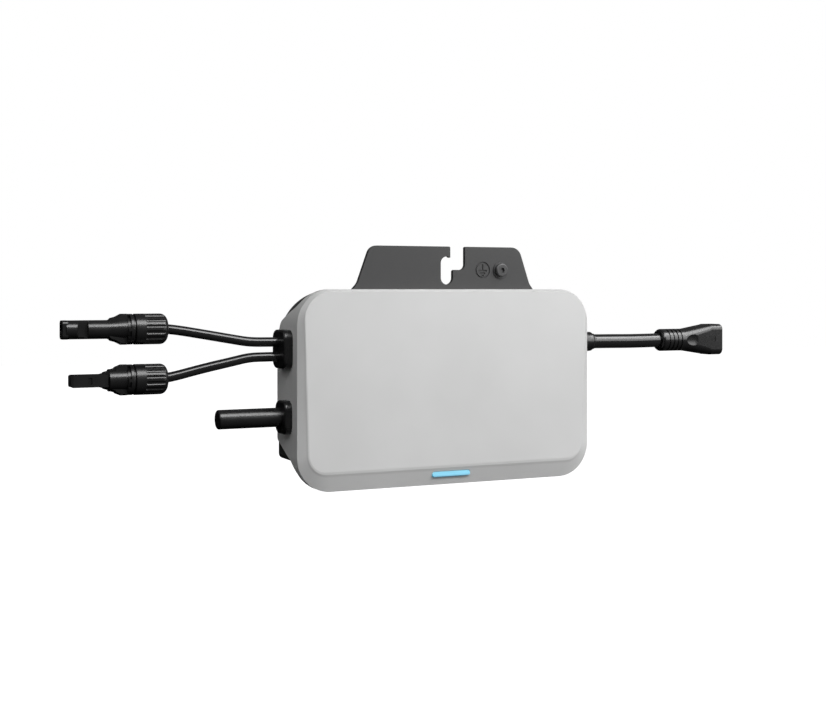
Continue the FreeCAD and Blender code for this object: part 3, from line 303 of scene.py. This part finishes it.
def make_materials():
    """One procedural material for each finish slot of the record."""
    finishes = {       # maker, darkest and lightest colour, roughness and what else the maker takes
        "cover_paint": (powder_coat, (0.588, 0.590, 0.588), (0.628, 0.630, 0.628), 0.46, 0.25),
        "housing_coat": (cast_coat, (0.022, 0.022, 0.0225), (0.030, 0.030, 0.0305), 0.5),
        "bracket_coat": (powder_coat, (0.020, 0.020, 0.0205), (0.025, 0.025, 0.0255), 0.55, 0.3),
        "screw_steel": (turned_metal, (0.42, 0.42, 0.42), (0.6, 0.6, 0.6), 0.3),
        "dark_steel": (powder_coat, (0.03, 0.03, 0.031), (0.04, 0.04, 0.041), 0.34, 0.2),
        "seal_rubber": (soft_rubber, (0.008, 0.008, 0.008), (0.016, 0.016, 0.016)),
        "black_plastic": (moulded_plastic, (0.005, 0.005, 0.0052), (0.008, 0.008, 0.0083), 0.28, 0.03),
        "cable_jacket": (extruded_jacket, (0.007, 0.007, 0.0073), (0.010, 0.010, 0.0103), 0.15),
        "lens_cyan": (lit_lens,),
        "light_guide": (clear_acrylic,),
        "board_green": (solder_mask,),
        "ferrite": (cast_coat, (0.03, 0.03, 0.033), (0.06, 0.06, 0.064), 0.6),
        "copper_wire": (turned_metal, (0.5, 0.2, 0.07), (0.75, 0.34, 0.14), 0.3, (1, 12, 1)),
        "tinned_copper": (turned_metal, (0.6, 0.58, 0.55), (0.8, 0.78, 0.74), 0.24),
        "capacitor_can": (turned_metal, (0.5, 0.5, 0.52), (0.7, 0.7, 0.72), 0.35, (1, 1, 6)),
        "film_box": (moulded_plastic, (0.01, 0.03, 0.18), (0.02, 0.05, 0.26), 0.3),
        "chip_black": (moulded_plastic, (0.015, 0.015, 0.016), (0.025, 0.025, 0.026), 0.55),
        "pad_grey": (soft_rubber, (0.32, 0.34, 0.37), (0.42, 0.44, 0.47)),
    }
    return {slot: maker(slot, *values) for slot, (maker, *values) in finishes.items()}


def dress_nodes(materials):
    """Give every carried-over CAD node the material of its record slot."""
    for entry in frame["record"]["subparts"]:
        mesh = NODES[entry["node"]].data
        mesh.materials.clear()
        mesh.materials.append(materials[entry["material_slot"]])


# ---- studio ----
SKY_BRIGHT_SIDE = (0.45, -0.55, 0.7)
SKY_HORIZON = -0.75        # how far round to the dark side the sky still gives light
SKY_LIGHT = 0.25
FLOOR_DROP = 0.25          # metres below the lowest point of the hung case
FLOOR_HALF = 6.0
SOFT_BOXES = [             # name, azimuth, elevation, distance, size, watts, rays that miss it
    ("key", 46, 27, 1.35, (1.1, 1.1), 16, {}),
    ("streak", 0, 42, 1.3, (2.2, 0.14), 12, {}),
    ("fill", -88, 30, 1.6, (1.2, 1.2), 4.6, {}),
    ("sheen", 20, 56, 1.4, (2.2, 0.5), 27, {"diffuse": False}),
    ("back", 165, -5, 1.5, (1.4, 1.4), 34, {"glossy": False}),
]


def soft_box(centre, name, azimuth, elevation, distance, size, power, diffuse=True, glossy=True):
    """Rectangular light aimed at the object; azimuth 0 is in front, positive to the right."""
    turn, rise = math.radians(azimuth), math.radians(elevation)
    away = Vector((math.sin(turn) * math.cos(rise), -math.cos(turn) * math.cos(rise), math.sin(rise)))
    light = bpy.data.lights.new(name, "AREA")
    light.shape = "RECTANGLE"
    light.size, light.size_y = size
    light.energy = power
    holder = bpy.data.objects.new(name, light)
    holder.location = centre + away * distance
    holder.rotation_euler = away.to_track_quat("Z", "Y").to_euler()
    holder.visible_diffuse = diffuse
    holder.visible_glossy = glossy
    SCENE.collection.objects.link(holder)


def make_world():
    """White to the camera; the object is lit by a dim sky that is brightest to the upper right front."""
    world = bpy.data.worlds.new("studio")
    world.use_nodes = True
    tree = world.node_tree
    backdrop = tree.nodes["Background"]
    backdrop.inputs["Color"].default_value = (1, 1, 1, 1)
    dim = tree.nodes.new("ShaderNodeBackground")
    place = tree.nodes.new("ShaderNodeTexCoord")
    towards = tree.nodes.new("ShaderNodeVectorMath")
    towards.operation = "DOT_PRODUCT"
    towards.inputs[1].default_value = SKY_BRIGHT_SIDE
    level = tree.nodes.new("ShaderNodeMapRange")
    level.inputs["From Min"].default_value = SKY_HORIZON
    level.inputs["To Max"].default_value = SKY_LIGHT
    rays = tree.nodes.new("ShaderNodeLightPath")
    mix = tree.nodes.new("ShaderNodeMixShader")
    link = tree.links.new
    link(place.outputs["Generated"], towards.inputs[0])
    link(towards.outputs["Value"], level.inputs["Value"])
    link(level.outputs["Result"], dim.inputs["Strength"])
    link(rays.outputs["Is Camera Ray"], mix.inputs[0])
    link(dim.outputs["Background"], mix.inputs[1])
    link(backdrop.outputs["Background"], mix.inputs[2])
    link(mix.outputs["Shader"], tree.nodes["World Output"].inputs["Surface"])
    SCENE.world = world


def make_floor(centre, bottom):
    """Plain white paper, far enough below the hung case to throw no light back on it."""
    mesh = bpy.data.meshes.new("floor")
    form = bmesh.new()
    bmesh.ops.create_grid(form, x_segments=4, y_segments=4, size=FLOOR_HALF)
    form.to_mesh(mesh)
    form.free()
    floor = bpy.data.objects.new("floor", mesh)
    floor.location = (centre.x, centre.y, bottom)
    floor.visible_diffuse = False
    floor.visible_glossy = False
    SCENE.collection.objects.link(floor)
    paper = Surface("floor_paper", (0.9, 0.9, 0.9), 0.9)
    paper.vary_color(paper.noise(2.0), (0.88, 0.88, 0.88), (0.92, 0.92, 0.92))
    paper.shader.inputs["Emission Color"].default_value = (1, 1, 1, 1)
    paper.shader.inputs["Emission Strength"].default_value = 1.0
    mesh.materials.append(paper.material)


def make_studio():
    """Floor, sky and soft boxes round the object."""
    low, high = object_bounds()
    centre = (low + high) / 2
    make_floor(centre, low.z - FLOOR_DROP)
    make_world()
    SCENE.view_settings.view_transform = "Standard"
    for *box, rays in SOFT_BOXES:
        soft_box(centre, *box, **rays)


# ---- making ----
make_camera()
LEADS = [
    lead("pv_upper_cable", PV_UPPER_ROUTE, LEFT, PV_LEAD_R),
    lead("pv_lower_cable", PV_LOWER_ROUTE, LEFT, PV_LEAD_R),
    lead("ac_cable", AC_ROUTE, RIGHT, AC_LEAD_R),
]
MATERIALS = make_materials()
dress_nodes(MATERIALS)
for jacket in LEADS:
    jacket.data.materials.append(MATERIALS["cable_jacket"])
make_studio()
